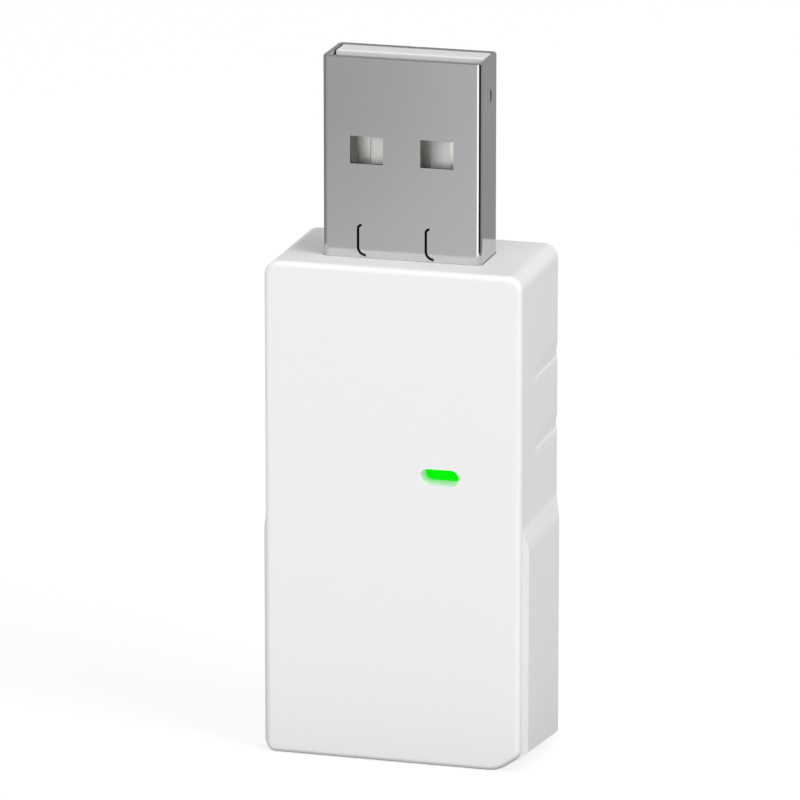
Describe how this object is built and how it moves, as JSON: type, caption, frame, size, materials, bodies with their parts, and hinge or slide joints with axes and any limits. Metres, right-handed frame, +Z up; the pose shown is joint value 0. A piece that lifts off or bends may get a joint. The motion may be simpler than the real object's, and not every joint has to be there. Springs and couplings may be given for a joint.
{
  "type": "usb bluetooth gateway",
  "caption": "Slim white upright wireless gateway stick: a two-shell housing with a lit pill window on its face and a USB-A plug standing out of its top.",
  "frame": {"origin": "middle of the flat base of the housing", "axes": "+Z up towards the tip of the USB plug, -Y out of the face with the status light, +X to the right of someone looking at that face"},
  "size_m": [0.0202, 0.011, 0.0527],
  "materials": {
    "housing_white": "smooth satin moulding",
    "light_green": "clear pill lens, lit green from behind",
    "shell_steel": "smooth bright folded sheet",
    "insulator_white": "smooth moulding",
    "contact_nickel": "bright nickel plated strip",
    "board_green": "solder mask",
    "can_steel": "tin plated sheet",
    "chip_black": "moulding compound",
    "ceramic_tan": "sintered",
    "lamp_clear": "clear encapsulation"
  },
  "bodies": {
    "root": {"rear_cover": "housing_white", "front_cover": "housing_white", "light_guide": "light_green", "usb_shell": "shell_steel", "usb_insulator": "insulator_white", "power_contact": "contact_nickel", "data_minus_contact": "contact_nickel", "data_plus_contact": "contact_nickel", "ground_contact": "contact_nickel", "circuit_board": "board_green", "module_board": "board_green", "shield_can": "can_steel", "radio_chip": "chip_black", "crystal": "can_steel", "chip_antenna": "ceramic_tan", "status_led": "lamp_clear", "led_resistor": "chip_black", "voltage_regulator": "chip_black", "input_capacitor": "ceramic_tan", "output_capacitor": "ceramic_tan", "surge_protector": "chip_black", "power_ferrite": "chip_black", "data_minus_resistor": "chip_black", "data_plus_resistor": "chip_black"}
  },
  "joints": []
}
